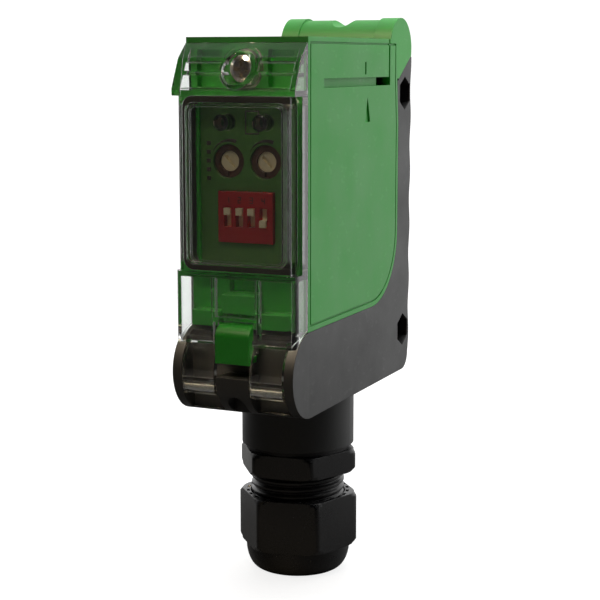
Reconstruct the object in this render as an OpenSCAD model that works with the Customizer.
// Photoelectric sensor in a terminal housing: a green sensor head plugs into a black base with a
// cable gland, and a clear cover with one captive screw is hinged over the controls.
//
// Frame: the origin is midway between the two mounting holes, in the middle of the width.
// +X is across the width, -Y is the side with the clear cover, +Y is the optical side, +Z is up.

/* [Housing] */
// Width across the side faces
housing_w = 25.8; // [24.6:0.1:31]
// Height of the top face above the middle of the mounting holes
top_h = 37.9; // [37:0.1:46]
// Depth of the base below the middle of the mounting holes
base_drop = 35.4; // [34:0.1:43]
// Distance from the mounting holes forward to the face under the clear cover
front_d = 52.9; // [50:0.1:64]
// Distance from the mounting holes back to the rear face
back_d = 4.1; // [3.9:0.1:5.2]
// Height of the black base up to its parting line with the green head
base_h = 17.1; // [15.5:0.1:20.5]
// Wall of both shells
wall = 1.8; // [1.4:0.1:2.4]
// Seam left open between the green head and the black base
seam = 0.06; // [0.03:0.01:0.15]
// Radius of the curve that sweeps the parting line up behind the head
sweep_r = 15; // [11:0.5:17]
// Height of the waves moulded in the rear edges
wave_h = 0.6; // [0.2:0.1:0.9]
// Pitch of the waves
wave_pitch = 12.1; // [9:0.1:16]

/* [Mounting] */
// Distance between the two mounting holes
hole_spacing = 52.6; // [50:0.1:54]
// Radius of the mounting holes
hole_r = 2.2; // [1.7:0.1:2.4]
// Width across flats of the hexagonal mouth of each hole
hex_af = 6.3; // [5.6:0.1:7]
// Depth of the hexagonal mouth
hex_depth = 2.3; // [1:0.1:4]

/* [Cover] */
// Lowest edge of the raised window, measured from the middle of the mounting holes
window_low = -6.8; // [-9:0.1:-5]
// Highest edge of the raised window
window_high = 26.8; // [25:0.1:28]
// How far the window stands in front of the head
cover_depth = 6.1; // [5.6:0.1:8]
// Thickness of the clear wall
cover_wall = 1.4; // [1:0.1:1.8]
// Step between the full width of the cover and its raised window, on each side
window_step = 1.1; // [0.8:0.1:2]
// Gap between the closed cover and the head
cover_gap = 0.1; // [0.05:0.01:0.2]
// Radius of the knuckles that the cover turns on
knuckle_r = 1.75; // [1.5:0.05:2]
// Radius of the steel hinge pin
pin_r = 0.8; // [0.6:0.05:0.9]
// Height of the screw above the middle of the mounting holes
screw_h = 31.9; // [31.4:0.1:33]
// Radius of the screw's head
screw_head_r = 2.6; // [2.4:0.1:2.8]
// Radius of the screw's thread
screw_r = 1.5; // [1.2:0.1:1.6]

/* [Controls] */
// Half the distance between the two potentiometers
pot_x = 3.95; // [3.8:0.05:5]
// Height of the potentiometers above the middle of the mounting holes
pot_z = 14.2; // [12.8:0.1:15.5]
// Radius of a potentiometer
pot_r = 3.2; // [2.8:0.1:3.6]
// Radius of a potentiometer's rotor
rotor_r = 1.95; // [1.6:0.05:2.2]
// Half the distance between the two signal lights
light_x = 4.1; // [3:0.1:5.5]
// Height of the signal lights above the middle of the mounting holes
light_z = 21.7; // [20.5:0.1:22.5]
// Radius of a signal light
light_r = 1.6; // [1.2:0.1:1.9]
// Width of the switch block
dip_w = 11.7; // [11:0.1:14]
// Height of the switch block
dip_h = 9.9; // [8:0.1:11]
// Height of the middle of the switch block above the middle of the mounting holes
dip_z = 3.45; // [2:0.05:4]
// Pitch of the switch levers
lever_pitch = 2.54; // [2.2:0.02:2.8]
// Width of a switch lever
lever_w = 1.36; // [1:0.02:1.5]
// Travel of a switch lever
lever_travel = 2.2; // [1.6:0.1:2.6]

/* [Optics] */
// Distance between the two lens axes
lens_pitch = 17; // [15:0.1:17.4]
// Radius of a lens
lens_r = 8.1; // [6.5:0.1:8.2]
// Height of the middle of the lens pair
optic_z = 4; // [2:0.1:5]

/* [Cable gland] */
// Distance from the mounting holes forward to the gland's axis
gland_d = 28.7; // [27:0.1:31]
// Radius of the gland's thread
gland_r = 9.87; // [8:0.01:9.9]
// Width across flats of the gland's hexagons
gland_af = 22.2; // [21:0.1:24.6]
// Radius of the turned corners of the hexagons
gland_corner_r = 12.7; // [11.5:0.05:14]
// Length of the moulded collar that the gland screws into
collar_h = 11; // [8:0.1:14]
// Pitch of the gland's thread
gland_pitch = 1.5; // [1:0.1:2]
// Radius of the hole for the cable in the sealing insert
cable_r = 5; // [3:0.1:6]

/* [Hidden] */
$fn = 64;

eps = 0.01;
big = 200;
half_w = housing_w/2;
front_y = -front_d;
part_z = base_h - base_drop;
head_rear_y = -4;
head_gap = 0.1;

// slanted rear shoulder, where the head reaches back over the base
shoulder_y = head_rear_y - 0.8;
shoulder_low = top_h - 9.1;
shoulder_high = top_h - 3.8;

// front barrel of the base, tangent to its bottom and to the parting line
barrel_r = base_h/2;
barrel_y = front_y + 1.4;
barrel_z = -base_drop + barrel_r;

// pockets of the cover's two hooks, between a middle rib and the two cheeks
rib_half = 3.5;
cheek = 1.95;
hook_in = rib_half + 0.35;
hook_out = half_w - cheek - 0.3;
pocket_back_y = barrel_y - 3.1;
lip_h = 1;
pin_y = barrel_y - barrel_r + 0.05 + knuckle_r;
pin_z = barrel_z - 2.4;

// cover
cover_back_y = front_y - cover_gap;
window_y = front_y - cover_depth;
flange_y = front_y - 2.7;
cover_top = top_h - 1;
cover_foot = part_z - 2.5;
apron_y = window_y - 0.3;
window_half = half_w - window_step;
seal_w = 1.2;
seal_front_y = flange_y + 0.1;
screw_face_y = front_y - 2.2;
screw_floor_y = screw_face_y + 1.25;
notch_half = 4.3;
notch_top = part_z + 2;

// release tongue, and the keeper bar behind it
tongue_face_y = apron_y - 0.6;
tongue_t = 2.6;
keeper_y = tongue_face_y + tongue_t + 1.15;

// control panel and boards
panel_half = half_w - 2.9;
panel_low = window_low + 0.5;
panel_high = window_high - 1.2;
panel_y = front_y + 0.7;
panel_t = 1.4;
display_y = front_y + 6.5;
board_t = 1.6;
pot_face_y = panel_y + 0.5;
rotor_face_y = pot_face_y + 0.35;
dip_face_y = panel_y - 0.8;
lever_h = lever_w;

// optics
window_t = 1.6;
window_in = 1.2;
optic_half = lens_pitch/2 + lens_r + 0.4;
carrier_half = lens_r + 0.8;
carrier_back = back_d - wave_h - window_t - 0.1;
carrier_len = 22;
light_hole_r = 2.6;

// gland
gland_y = -gland_d;
collar_r = gland_r + 1.98;
collar_z = -base_drop - collar_h;
thread_gap = 0.13;
nut_gap = 0.08;
hex_z = collar_z - 1.1;
hex_h = 4.8;
nut_top = hex_z - hex_h - 4.9;
// the two hexagons come to rest a little out of step once tightened
gland_turn = 6.25;
nut_turn = 12.5;
nut_hex_h = 11.2;
nut_dome_h = 5.4;
nut_low = nut_top - nut_hex_h - nut_dome_h;
gland_bore_r = gland_r - 2.17;
claw_z = nut_top - 8.4;

// chamber of the base for the wires
chamber_half = half_w - wall;
chamber_front = gland_y - 12.6;
chamber_back = -5.9;
chamber_floor = -base_drop + 2.2;

// ---- plain helpers ----
module across(x0, x1) translate([x0, 0, 0]) rotate([90, 0, 90]) linear_extrude(height = x1 - x0) children();
module frontwards(y0, y1) translate([0, y1, 0]) rotate([90, 0, 0]) linear_extrude(height = y1 - y0) children();
module upwards(z0, z1) translate([0, 0, z0]) linear_extrude(height = z1 - z0) children();
module pole_y(r, y0, y1) translate([0, y0, 0]) rotate([-90, 0, 0]) cylinder(r = r, h = y1 - y0);
module pole_x(r, x0, x1) translate([x0, 0, 0]) rotate([0, 90, 0]) cylinder(r = r, h = x1 - x0);
module both_sides() { children(); mirror([1, 0, 0]) children(); }

// box between two corners
module block(low, high) translate(low) cube(high - low);

// rectangle with true round corners, between two corners
module soft_rect(low, high, r) {
  translate(low + [r, 0]) square([high[0] - low[0] - 2*r, high[1] - low[1]]);
  translate(low + [0, r]) square([high[0] - low[0], high[1] - low[1] - 2*r]);
  for (a = [low[0] + r, high[0] - r], b = [low[1] + r, high[1] - r]) translate([a, b]) circle(r = r);
}

// ---- outlines of the two shells, drawn as depth against height ----
// part above the slanted rear shoulder
module above_shoulder(inset) {
  polygon([[shoulder_y, shoulder_low + inset], [3.4, shoulder_high + inset], [20, shoulder_high + inset],
           [20, top_h + 20], [shoulder_y, top_h + 20]]);
}

sight_y = -2.6;
sight_z = top_h - 2;
sight_r = 6.6;

// green head, drawn in by inset all round
module head_outline(inset) {
  low = part_z + inset;
  rear = head_rear_y - inset;
  difference() {
    polygon([[front_y + inset, low], [rear, low], [rear, shoulder_low - 8.8], [shoulder_y - inset, shoulder_low],
             [shoulder_y - inset, top_h - inset], [front_y + inset, top_h - inset]]);
    difference() {
      translate([head_rear_y - sweep_r, part_z - 1]) square([sweep_r + 1, sweep_r + 1]);
      translate([head_rear_y - sweep_r, part_z + sweep_r]) circle(r = sweep_r - inset);
    }
  }
}

// round sight barrel on the rear end of the top
module sight_outline(r) {
  intersection() {
    translate([sight_y, sight_z]) circle(r = r);
    union() {
      above_shoulder(seam);
      translate([sight_y - 20, sight_z - 2]) square([20 + shoulder_y - sight_y + eps, 20]);
    }
  }
}

function wave_y(z) = back_d - wave_h/2 + wave_h/2*cos(360*(z - 9)/wave_pitch);

// black base with its front barrel, its rear strip and the waves on its rear edge
module base_outline() {
  corner_r = 3.5;
  rear_low = -base_drop + corner_r;
  difference() {
    union() {
      translate([barrel_y, barrel_z]) circle(r = barrel_r);
      translate([barrel_y, -base_drop]) square([-barrel_y + back_d - corner_r - wave_h, base_h]);
      translate([back_d - wave_h - corner_r, rear_low]) circle(r = corner_r);
      polygon(concat([[-30, rear_low], [-30, part_z], [-12, part_z + 8], [-12, shoulder_low - 4.8],
                      [shoulder_y, shoulder_low], [wave_y(shoulder_high) - 0.1, shoulder_high + 0.4]],
                     [for (z = [floor(shoulder_high) : -1 : rear_low]) [wave_y(z), z]],
                     [[back_d - wave_h, rear_low]]));
    }
    head_outline(-seam);
    translate([0, seam]) above_shoulder(0);
  }
}

// ---- base ----
module hook_pocket() {
  block([rib_half, -big, -base_drop + lip_h], [half_w - cheek, pocket_back_y, part_z + 1]);
}

module hex_hole(x, z) {
  translate([x, 0, z]) rotate([0, 90, 0]) cylinder(d = hex_af/cos(30), h = hex_depth + 1, $fn = 6);
}

module base_housing() {
  color([0.13, 0.13, 0.13])
  difference() {
    union() {
      difference() {
        across(-half_w, half_w) base_outline();
        // wire chamber, open to the head
        block([-chamber_half, chamber_front, chamber_floor], [chamber_half, chamber_back, part_z - 2.4]);
        block([-chamber_half, chamber_front, part_z - 2.5], [chamber_half, head_rear_y - sweep_r, part_z + 1]);
      }
      translate([0, gland_y, collar_z]) cylinder(r = collar_r, h = collar_h + eps);
    }
    both_sides() hook_pocket();
    // gap under the release tongue, with the keeper bar left standing in it
    block([-rib_half - eps, -big, barrel_z - 0.15], [rib_half + eps, pocket_back_y, part_z + 1]);
    // seat of the tongue's upper end
    block([-rib_half - 0.35, -big, part_z - 1.3], [rib_half + 0.35, front_y + 0.7, part_z + 1]);
    // arch in the rib
    translate([0, 0, -base_drop + 2.5]) pole_y(1.9, -big, pocket_back_y);
    block([-1.9, -big, -base_drop - 1], [1.9, pocket_back_y, -base_drop + 2.5]);
    // hinge pin
    translate([0, pin_y, pin_z]) pole_x(pin_r + 0.02, -half_w + 0.9, half_w - 0.9);
    // gland thread and cable way
    translate([0, gland_y, collar_z - 1]) cylinder(r = gland_r + thread_gap, h = collar_h + 4);
    // mounting holes with hexagonal mouths
    for (s = [-1, 1]) {
      translate([0, 0, s*hole_spacing/2]) pole_x(hole_r, -big/2, big/2);
      both_sides() hex_hole(half_w - hex_depth, s*hole_spacing/2);
    }
    // optical opening with a rebate for the window
    block([-carrier_half - head_gap, -30, optic_z - optic_half - head_gap],
          [carrier_half + head_gap, back_d + 1, optic_z + optic_half + head_gap]);
    frontwards(carrier_back + head_gap, back_d + 1)
      soft_rect([-carrier_half - window_in, optic_z - optic_half - window_in],
                [carrier_half + window_in, optic_z + optic_half + window_in], 1.5);
    // seat of the housing seal
    seal_seat();
  }
  // keeper bar of the release tongue
  color([0.13, 0.13, 0.13])
  block([-rib_half, keeper_y, barrel_z + 3.95], [rib_half, pocket_back_y + eps, barrel_z + 5.9]);
}

module seal_ring_outline() {
  margin = 0.5;
  difference() {
    soft_rect([-chamber_half - margin, chamber_front - margin - 0.7],
              [chamber_half + margin, head_rear_y - sweep_r + margin], 1.5);
    soft_rect([-chamber_half + 0.2, chamber_front], [chamber_half - 0.2, head_rear_y - sweep_r - 0.2], 1);
  }
}

module seal_seat() upwards(part_z - 1.2, part_z + 1) seal_ring_outline();

module housing_seal() {
  color([0.06, 0.06, 0.06])
  upwards(part_z - 1.2, part_z) seal_ring_outline();
}

// ---- green head ----
module groove_line(depth) {
  line_in = 0.95;
  line_w = 0.4;
  across(half_w - depth, half_w + 1) difference() {
    head_outline(line_in);
    head_outline(line_in + line_w);
  }
}

module side_marks() {
  depth = 0.35;
  slot_low = top_h - 9.7;
  slot_high = top_h - 7.95;
  slot_rear = -9.3;
  // long slot, its opening into the head, and its upright groove
  block([half_w - 1, front_y + 7.6, slot_low], [half_w + 1, slot_rear, slot_high]);
  block([half_w - wall - 1, slot_rear - 5.7, slot_low], [half_w + 1, slot_rear, slot_high]);
  block([half_w - 0.7, slot_rear - 0.8, slot_high - eps], [half_w + 1, slot_rear, top_h + 1]);
  // short line and arrow, the height of the optical axis
  block([half_w - depth, -23.85, top_h - 7.3], [half_w + 1, -23.15, top_h - 4.8]);
  across(half_w - depth, half_w + 1)
    polygon([[-23.7, top_h - 17.05], [-20.9, top_h - 17.05], [-22.3, top_h - 11.9]]);
}

module head_cavity() {
  across(-half_w + wall, half_w - wall) head_outline(wall + 0.4);
}

module screw_boss() {
  translate([0, 0, screw_h]) pole_y(3.9, front_y + 1, front_y + 8.5);
}

module sensor_housing() {
  ledge_y = front_y - 2.9;
  middle_block_top = window_low - 4.5;
  color([0.13, 0.47, 0.16])
  difference() {
    union() {
      difference() {
        union() {
          across(-half_w, half_w) head_outline(0);
          // sight barrel: two cheeks and a slightly smaller drum
          across(-half_w, half_w) sight_outline(sight_r - 0.4);
          both_sides() across(half_w - 4, half_w) sight_outline(sight_r);
        }
        head_cavity();
        // sight notch on top
        translate([0, sight_y, sight_z + sight_r + 0.9]) pole_y(2.9, -10, 10);
      }
      screw_boss();
      // lower ledges and the middle block under the cover
      both_sides() block([notch_half, ledge_y, part_z + 0.6], [half_w - 2.6, front_y + eps, part_z + 3.6]);
      block([-rib_half, front_y - 3.5, part_z + 3.4], [rib_half, front_y + eps, middle_block_top]);
    }
    both_sides() groove_line(0.3);
    both_sides() side_marks();
    // opening for the control panel
    frontwards(front_y - 1, front_y + wall + 2)
      soft_rect([-panel_half, panel_low], [panel_half, panel_high], 1.5);
    // two pockets beside the screw
    both_sides() block([4.9, front_y - 1, window_high + 1.8], [half_w - 2.7, front_y + 1.8, top_h - 3]);
    // pocket above the middle block
    block([-rib_half, front_y - 1, middle_block_top + 0.1], [rib_half, front_y + 1.8, window_low - 0.6]);
    // channel for the release tongue
    block([-rib_half - 0.35, -big, part_z - 1], [rib_half + 0.35, front_y + 1.9, part_z + 3.3]);
    // threaded insert and the room for the screw's washer
    translate([0, 0, screw_h]) pole_y(2.4, front_y - 1, front_y + 7);
    translate([0, 0, screw_h]) pole_y(3.2, front_y - 1, front_y + 1);
    // optical opening
    block([-carrier_half - head_gap, carrier_back - carrier_len, optic_z - optic_half - head_gap],
          [carrier_half + head_gap, 5, optic_z + optic_half + head_gap]);
    // contact plug through the floor
    block([-7.6, -36.1, part_z - 1], [7.6, -29.9, part_z + 4]);
  }
}

// ---- cover ----
module cover_top_outline(inset) {
  y = window_y;
  t = cover_top;
  polygon([[0, t - inset], [y + 6.1, t - inset], [y + 4.4 + inset*0.6, t - 1.5 - inset],
           [y + 2.8 + inset*0.8, t - 3 - inset], [y + 1.7 + inset, t - 5.2 - inset*0.5],
           [y + 0.8 + inset, t - 7 - inset*0.3], [y + inset, t - 8.8], [y + inset, window_high],
           [0, window_high]]);
}

// the cover as one full body, before it is hollowed
module cover_solid() {
  intersection() {
    across(-half_w, half_w) cover_top_outline(0);
    block([-big, -big, 0], [big, cover_back_y, big]);
  }
  block([-half_w, flange_y, cover_foot], [half_w, cover_back_y, window_high + 0.6]);
  upwards(window_low - 0.6, window_high + 0.6)
    soft_rect([-window_half, window_y], [window_half, cover_back_y], 0.9);
  intersection() {
    upwards(cover_foot, window_low) soft_rect([-half_w, apron_y], [half_w, cover_back_y + 3], 2.2);
    block([-big, -big, -big], [big, cover_back_y, big]);
  }
}

module cover_hollow() {
  in = cover_wall;
  y_end = front_y + 5;
  // behind the sloped top
  difference() {
    across(-half_w + in, half_w - in) cover_top_outline(in);
    block([-big, -big, 0], [big, big, window_high + 1]);
    translate([0, 0, screw_h]) pole_y(4, -big/2, big/2);
    // two stiffening ribs
    for (z = [screw_h - 1.5, screw_h + 0.9]) block([-big, -big, z], [big, flange_y + 1.7, z + 0.7]);
  }
  // behind the window, and the seat of its seal
  frontwards(window_y + 1.5, y_end)
    soft_rect([-window_half + seal_w, window_low + seal_w], [window_half - seal_w, window_high - seal_w], 1.5);
  frontwards(seal_front_y, y_end)
    soft_rect([-window_half, window_low], [window_half, window_high], 2.2);
  // behind the apron
  block([-half_w + in, apron_y + 1.5, cover_foot - 1], [half_w - in, y_end, window_low - 1.1]);
}

module cover_hook() {
  hook_t = 1.3;
  hook_top = cover_foot + 1.2;
  intersection() {
    translate([0, barrel_y, barrel_z]) difference() {
      pole_x(barrel_r + 0.15, hook_in, hook_out);
      pole_x(barrel_r - hook_t, hook_in - 1, hook_out + 1);
    }
    block([0, -big, pin_z], [big, pocket_back_y - 0.5, hook_top]);
  }
  // shelf that joins the hook to the apron
  block([hook_in, apron_y + 0.4, cover_foot], [hook_out, pocket_back_y - 1.2, hook_top]);
  translate([0, pin_y, pin_z]) pole_x(knuckle_r, hook_in, hook_out);
}

module front_cover() {
  color([0.85, 0.9, 0.88, 0.35])
  difference() {
    union() {
      difference() {
        cover_solid();
        cover_hollow();
        // cut back round the barrel and open for the release tongue
        both_sides() translate([0, barrel_y, barrel_z]) pole_x(barrel_r + 0.35, hook_out - eps, big/2);
        block([-notch_half, -big, -big], [notch_half, big, notch_top]);
      }
      both_sides() cover_hook();
      // clear frame round the release tongue, and two ribs above it
      difference() {
        block([-notch_half - 0.8, apron_y + 0.5, cover_foot + 0.9], [notch_half + 0.8, front_y - 3.8, notch_top + 0.8]);
        block([-notch_half, -big, -big], [notch_half, big, notch_top]);
      }
      both_sides() block([notch_half, apron_y + 1, notch_top], [notch_half + 0.8, front_y - 3.8, window_low - 0.5]);
      // raised line behind the window, round the controls
      frontwards(window_y + 1, window_y + 2.6) difference() {
        soft_rect([-window_half + seal_w + 0.4, window_low + seal_w + 0.4],
                  [window_half - seal_w - 0.4, window_high - seal_w - 0.4], 1.6);
        soft_rect([-window_half + seal_w + 0.85, window_low + seal_w + 0.85],
                  [window_half - seal_w - 0.85, window_high - seal_w - 0.85], 1.2);
      }
    }
    // head and thread of the captive screw
    translate([0, 0, screw_h]) pole_y(screw_head_r + 0.45, window_y - 1, screw_floor_y);
    translate([0, 0, screw_h]) pole_y(screw_r + 0.2, window_y - 1, front_y + 1);
    translate([0, pin_y, pin_z]) pole_x(pin_r + 0.06, -half_w, half_w);
  }
}

module cover_seal() {
  edge = 0.05;
  color([0.05, 0.05, 0.05])
  frontwards(seal_front_y, cover_back_y + 0.02) difference() {
    soft_rect([-window_half + edge, window_low + edge], [window_half - edge, window_high - edge], 2.15);
    soft_rect([-window_half + seal_w, window_low + seal_w], [window_half - seal_w, window_high - seal_w], 1.5);
  }
}

module cover_screw() {
  recess_w = 0.75;
  recess_l = 3.1;
  color([0.75, 0.66, 0.5])
  translate([0, 0, screw_h]) difference() {
    union() {
      pole_y(screw_head_r, screw_face_y + 0.45, screw_floor_y - 0.05);
      // crowned face of the head
      translate([0, screw_face_y + 0.45 + eps, 0]) rotate([90, 0, 0])
        cylinder(r1 = screw_head_r, r2 = screw_head_r - 0.75, h = 0.45);
      pole_y(screw_r, screw_floor_y - 0.1, front_y + 4.6);
    }
    block([-recess_w/2, -big, -recess_l/2], [recess_w/2, screw_face_y + 0.95, recess_l/2]);
    block([-recess_l/2, -big, -recess_w/2], [recess_l/2, screw_face_y + 0.95, recess_w/2]);
  }
}

module screw_washer() {
  color([0.9, 0.9, 0.85])
  translate([0, 0, screw_h]) difference() {
    pole_y(2.7, front_y + 0.05, front_y + 0.6);
    pole_y(screw_r, front_y - 1, front_y + 2);
  }
}

module threaded_insert() {
  color([0.8, 0.62, 0.25])
  translate([0, 0, screw_h]) difference() {
    pole_y(2.4, front_y + 1, front_y + 7);
    pole_y(screw_r + 0.15, front_y, front_y + 8);
  }
}

module hinge_pin() {
  color([0.7, 0.7, 0.7])
  translate([0, pin_y, pin_z]) pole_x(pin_r, -half_w + 0.95, half_w - 0.95);
}

// latch that holds the head in the base, pivoting at its upper end
tongue_half = rib_half + 0.1;
tongue_pivot_y = front_y - 1.2;
tongue_pivot_z = part_z + 1.9;

module release_tongue() {
  foot_z = barrel_z + 2.55;
  top_z = part_z + 1.3;
  bend_r = 2.3;
  color([0.1, 0.45, 0.12])
  across(-tongue_half, tongue_half) {
    // front plate with its rounded upper edge
    difference() {
      union() {
        translate([tongue_face_y, foot_z]) square([tongue_t, top_z - bend_r - foot_z]);
        translate([tongue_face_y + bend_r, top_z - bend_r]) circle(r = bend_r);
        translate([tongue_face_y + bend_r, top_z - 1.9]) square([tongue_pivot_y - tongue_face_y - bend_r, 1.9]);
      }
      translate([tongue_face_y + tongue_t, top_z - 20 - 1.9]) square([20, 20]);
    }
    // arm up to the pivot, and the nose under the keeper bar
    translate([tongue_pivot_y, tongue_pivot_z]) circle(r = 0.9);
    translate([tongue_pivot_y - 0.9, top_z - 1.9]) square([1.8, tongue_pivot_z - top_z + 1.9]);
    translate([tongue_face_y + tongue_t - eps, foot_z]) square([1.5, 1.1]);
  }
}

// ---- controls ----
module control_panel() {
  color([0.06, 0.2, 0.09])
  difference() {
    frontwards(panel_y, panel_y + panel_t)
      soft_rect([-panel_half + 0.05, panel_low + 0.05], [panel_half - 0.05, panel_high - 0.05], 1.45);
    for (s = [-1, 1]) {
      translate([s*light_x, 0, light_z]) pole_y(light_r + 0.05, -big/2, 0);
      translate([s*pot_x, 0, pot_z]) pole_y(pot_r + 0.1, -big/2, 0);
    }
    block([-dip_w/2 - 0.1, -big, dip_z - dip_h/2 - 0.1], [dip_w/2 + 0.1, 0, dip_z + dip_h/2 + 0.1]);
  }
}

module display_board() {
  color([0.1, 0.35, 0.15])
  block([-panel_half + 0.2, display_y, panel_low + 0.3], [panel_half - 0.2, display_y + board_t, panel_high - 0.3]);
}

module light_guides() {
  tip_y = flange_y - 0.1;
  color([0.8, 0.85, 0.8, 0.5])
  for (s = [-1, 1]) translate([s*light_x, 0, light_z]) {
    pole_y(light_r, tip_y + 0.5, panel_y + 3);
    translate([0, tip_y + 0.5 + eps, 0]) rotate([90, 0, 0]) cylinder(r1 = light_r, r2 = light_r - 0.5, h = 0.5);
  }
}

module indicator_leds() {
  color([0.9, 0.85, 0.6])
  for (s = [-1, 1])
    block([s*light_x - 1, display_y - 1.1, light_z - 0.8], [s*light_x + 1, display_y, light_z + 0.8]);
}

module pot_body(side) {
  color([0.35, 0.26, 0.16])
  translate([side*pot_x, 0, pot_z]) difference() {
    pole_y(pot_r, pot_face_y, display_y);
    pole_y(rotor_r + 0.08, -big/2, pot_face_y + 2.6);
    // stop mark at the bottom of the rim
    block([-0.35, -big, -pot_r + 0.25], [0.35, pot_face_y + 0.6, -rotor_r]);
  }
}

module pot_rotor(side) {
  slot_w = 0.6;
  slot_l = 2.9;
  color([0.88, 0.84, 0.72])
  translate([side*pot_x, 0, pot_z]) difference() {
    pole_y(rotor_r, rotor_face_y, pot_face_y + 2.55);
    rotate([0, 45, 0]) block([-slot_l/2, -big, -slot_w/2], [slot_l/2, rotor_face_y + 0.7, slot_w/2]);
  }
}

module pot_body_left() pot_body(-1);
module pot_body_right() pot_body(1);
module pot_rotor_left() pot_rotor(-1);
module pot_rotor_right() pot_rotor(1);

lever_gap = 0.1;
slot_half = (lever_h + lever_travel)/2 + lever_gap;
slot_depth = 1.3;

function lever_x(i) = (i - 2.5)*lever_pitch;

module switch_block() {
  color([0.6, 0.06, 0.07])
  difference() {
    block([-dip_w/2, dip_face_y, dip_z - dip_h/2], [dip_w/2, display_y, dip_z + dip_h/2]);
    for (i = [1 : 4])
      block([lever_x(i) - lever_w/2 - lever_gap, -big, dip_z - slot_half],
            [lever_x(i) + lever_w/2 + lever_gap, dip_face_y + slot_depth, dip_z + slot_half]);
  }
}

// a lever rests at one end of its slot: up is +1, down is -1
module switch_lever(i, rest) {
  mid = dip_z + rest*lever_travel/2;
  proud = 0.45;
  color([0.9, 0.88, 0.8])
  block([lever_x(i) - lever_w/2, dip_face_y - proud, mid - lever_h/2],
        [lever_x(i) + lever_w/2, dip_face_y + slot_depth - 0.05, mid + lever_h/2]);
}

module switch_lever_1() switch_lever(1, 1);
module switch_lever_2() switch_lever(2, 1);
module switch_lever_3() switch_lever(3, 1);
module switch_lever_4() switch_lever(4, -1);

// ---- electronics in the head ----
board_x = -half_w + wall + 2;
board_front = front_y + 10;
board_rear = carrier_back - carrier_len - 0.6;

module main_board() {
  color([0.1, 0.35, 0.15])
  block([board_x, board_front, part_z + 5], [board_x + board_t, board_rear, top_h - 6]);
}

module board_connector() {
  color([0.15, 0.15, 0.15])
  block([board_x + board_t, board_front - 0.4, 12], [board_x + board_t + 4, board_front + 4.6, 26]);
}

module relay() {
  color([0.1, 0.2, 0.5])
  block([board_x + board_t, board_front + 1.4, part_z + 6], [board_x + board_t + 12.6, board_front + 8.4, part_z + 26]);
}

module transformer() {
  color([0.75, 0.6, 0.2])
  block([board_x + board_t, board_front + 9.2, part_z + 6], [board_x + board_t + 13, board_rear - 0.8, part_z + 22]);
}

module capacitor() {
  color([0.12, 0.14, 0.3])
  translate([0, board_front + 12.5, part_z + 34]) pole_x(4.8, board_x + board_t, board_x + board_t + 14);
}

// ---- optics ----
module lens_carrier() {
  carrier_front = carrier_back - carrier_len;
  color([0.08, 0.08, 0.08])
  difference() {
    block([-carrier_half, carrier_front, optic_z - optic_half], [carrier_half, carrier_back, optic_z + optic_half]);
    for (s = [-1, 1]) translate([0, 0, optic_z + s*lens_pitch/2]) {
      pole_y(light_hole_r, carrier_front - 1, carrier_back);
      pole_y(lens_r - 1, carrier_front + 3, carrier_back);
      pole_y(lens_r + 0.05, carrier_back - 3.6, carrier_back + 1);
    }
  }
}

module lens(s) {
  rim = 1.3;
  dome = 1.9;
  ball_r = (lens_r*lens_r + dome*dome)/(2*dome);
  translate([0, carrier_back - 0.2, optic_z + s*lens_pitch/2]) {
    pole_y(lens_r, -rim, 0);
    intersection() {
      pole_y(lens_r, -rim - dome - 0.1, -rim + eps);
      translate([0, -rim + ball_r - dome, 0]) sphere(r = ball_r, $fn = 96);
    }
  }
}

module receiver_lens() color([0.7, 0.25, 0.25, 0.6]) lens(1);
module emitter_lens() color([0.7, 0.25, 0.25, 0.6]) lens(-1);

module diode(s) {
  y = carrier_back - carrier_len;
  translate([0, y, optic_z + s*lens_pitch/2]) {
    pole_y(light_hole_r - 0.1, 0, 4.5);
    translate([0, 4.5, 0]) intersection() {
      sphere(r = light_hole_r - 0.1);
      pole_y(light_hole_r, -0.1, 3);
    }
    pole_y(light_hole_r + 0.4, -1, 0);
  }
}

module receiver_diode() color([0.1, 0.1, 0.15]) diode(1);
module emitter_diode() color([0.8, 0.3, 0.3]) diode(-1);

module optic_window() {
  color([0.35, 0.03, 0.05, 0.7])
  frontwards(carrier_back + head_gap, carrier_back + head_gap + window_t)
    soft_rect([-carrier_half - window_in + 0.05, optic_z - optic_half - window_in + 0.05],
              [carrier_half + window_in - 0.05, optic_z + optic_half + window_in - 0.05], 1.45);
}

// ---- wiring ----
term_count = 5;
term_pitch = 3.8;
term_half = term_count*term_pitch/2 + 0.8;
term_front = chamber_back - 10;
term_low = chamber_floor;
term_high = part_z - 3.2;

function term_x(i) = (i - (term_count - 1)/2)*term_pitch;

module terminal_block() {
  color([0.75, 0.76, 0.74])
  difference() {
    block([-term_half, term_front, term_low], [term_half, chamber_back, term_high]);
    for (i = [0 : term_count - 1]) {
      // wire entry in the front, and the clamping screw above it
      translate([term_x(i), 0, term_low + 3]) pole_y(1.3, term_front - 1, term_front + 6);
      translate([term_x(i), term_front + 3.4, term_low + 3]) cylinder(r = 1.25, h = 20);
    }
  }
}

module terminal_screws() {
  color([0.7, 0.7, 0.72])
  for (i = [0 : term_count - 1]) translate([term_x(i), term_front + 3.4, 0]) difference() {
    upwards(term_low + 4.4, term_high - 0.6) circle(r = 1.2);
    block([-0.2, -2, term_high - 1.3], [0.2, 2, term_high]);
  }
}

module contact_plug() {
  color([0.1, 0.1, 0.1])
  difference() {
    block([-7.5, -36, part_z - 3], [7.5, -30, part_z + 4]);
    for (i = [0 : term_count - 1])
      block([(i - 2)*2.8 - 0.5, -34.4, part_z - 4], [(i - 2)*2.8 + 0.5, -31.6, part_z - 0.5]);
  }
}

// ---- cable gland ----
module at_gland() translate([0, gland_y, 0]) children();

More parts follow.
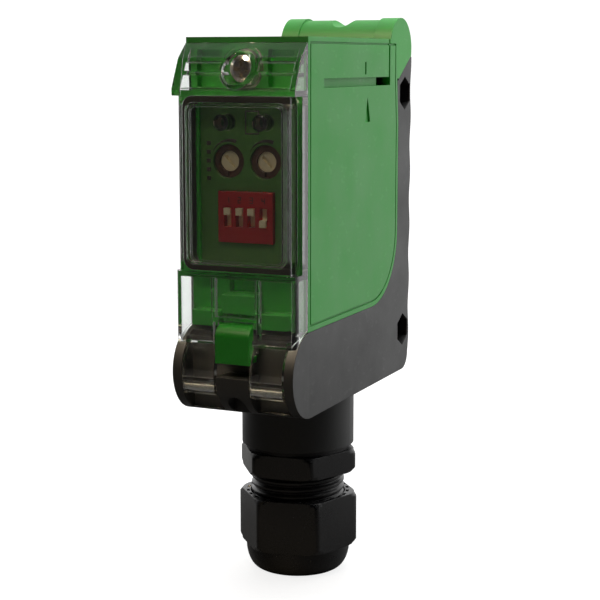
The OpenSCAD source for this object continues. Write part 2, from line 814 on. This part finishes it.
module turned_hex(z0, z1, turn) {
  chamfer = 0.8;
  intersection() {
    translate([0, 0, z0]) rotate([0, 0, turn]) cylinder(d = gland_af/cos(30), h = z1 - z0, $fn = 6);
    rotate_extrude() polygon([[0, z0], [gland_corner_r - chamfer, z0], [gland_corner_r, z0 + chamfer],
                              [gland_corner_r, z1 - chamfer], [gland_corner_r - chamfer, z1], [0, z1]]);
  }
}

module gland_thread(z_low, z_high) {
  cut = 0.55;
  turns = floor((z_high - z_low)/gland_pitch);
  rotate_extrude() polygon(concat([[0, z_low], [gland_r - cut, z_low]],
    [for (i = [0 : turns - 1], e = [0, 1])
      [e == 0 ? gland_r - cut : gland_r, z_low + 0.15 + (i + 0.25 + e/2)*gland_pitch]],
    [[gland_r - cut, z_high], [0, z_high]]));
}

module gland_seal() {
  color([0.04, 0.04, 0.04])
  at_gland() difference() {
    translate([0, 0, hex_z]) cylinder(r = gland_r + 1.1, h = collar_z - hex_z);
    translate([0, 0, hex_z - 1]) cylinder(r = gland_r, h = 5);
  }
}

module gland_body() {
  color([0.1, 0.1, 0.1])
  at_gland() difference() {
    union() {
      translate([0, 0, hex_z - eps]) cylinder(r = gland_r, h = collar_h + 1.1);
      turned_hex(hex_z - hex_h, hex_z, gland_turn);
      gland_thread(nut_top - 6, hex_z - hex_h + eps);
    }
    translate([0, 0, -big/2]) cylinder(r = gland_bore_r, h = big);
  }
}

module sealing_insert() {
  color([0.2, 0.2, 0.2])
  at_gland() difference() {
    translate([0, 0, claw_z - 2.5]) cylinder(r = gland_bore_r - 0.9, h = 14);
    translate([0, 0, -big/2]) cylinder(r = cable_r, h = big);
  }
}

// basket of fingers that the nut presses on the insert
module clamping_claw() {
  fingers = 12;
  color([0.25, 0.25, 0.25])
  at_gland() difference() {
    translate([0, 0, claw_z - 2.3]) cylinder(r = gland_bore_r - 0.05, h = 13);
    translate([0, 0, -big/2]) cylinder(r = gland_bore_r - 0.9, h = big);
    for (i = [0 : fingers/2 - 1]) rotate([0, 0, i*360/fingers])
      block([-gland_r, -0.35, claw_z - 3], [gland_r, 0.35, claw_z + 4]);
  }
}

module cap_nut() {
  dome_r = gland_af/2;
  thread_hole_r = gland_r + nut_gap;
  hex_low = nut_top - nut_hex_h;
  dimples = 24;
  color([0.08, 0.08, 0.08])
  at_gland() difference() {
    union() {
      turned_hex(hex_low, nut_top, nut_turn);
      rotate_extrude() polygon([[0, hex_low + eps], [dome_r - 0.05, hex_low + eps], [dome_r - 0.3, hex_low - 1.4],
        [dome_r - 0.9, hex_low - 3], [dome_r - 1.8, hex_low - 4.4], [dome_r - 2.7, nut_low], [0, nut_low]]);
    }
    translate([0, 0, nut_top - 9.2]) cylinder(r = thread_hole_r, h = 20);
    translate([0, 0, nut_low + 3.6]) cylinder(r = gland_bore_r + 0.4, h = 20);
    translate([0, 0, nut_low - 1]) cylinder(r = gland_bore_r - 0.6, h = 20);
    // ratchet dimples on the upper face
    for (i = [0 : dimples - 1]) rotate([0, 0, i*360/dimples])
      translate([(thread_hole_r + gland_af/2)/2, 0, nut_top - 0.35]) cylinder(r = 0.3, h = 1);
  }
}

base_housing();
sensor_housing();
front_cover();
cover_seal();
cover_screw();
screw_washer();
threaded_insert();
hinge_pin();
release_tongue();
control_panel();
display_board();
light_guides();
indicator_leds();
pot_body_left();
pot_body_right();
pot_rotor_left();
pot_rotor_right();
switch_block();
switch_lever_1();
switch_lever_2();
switch_lever_3();
switch_lever_4();
main_board();
board_connector();
relay();
transformer();
capacitor();
lens_carrier();
receiver_lens();
emitter_lens();
receiver_diode();
emitter_diode();
optic_window();
housing_seal();
terminal_block();
terminal_screws();
contact_plug();
gland_seal();
gland_body();
sealing_insert();
clamping_claw();
cap_nut();
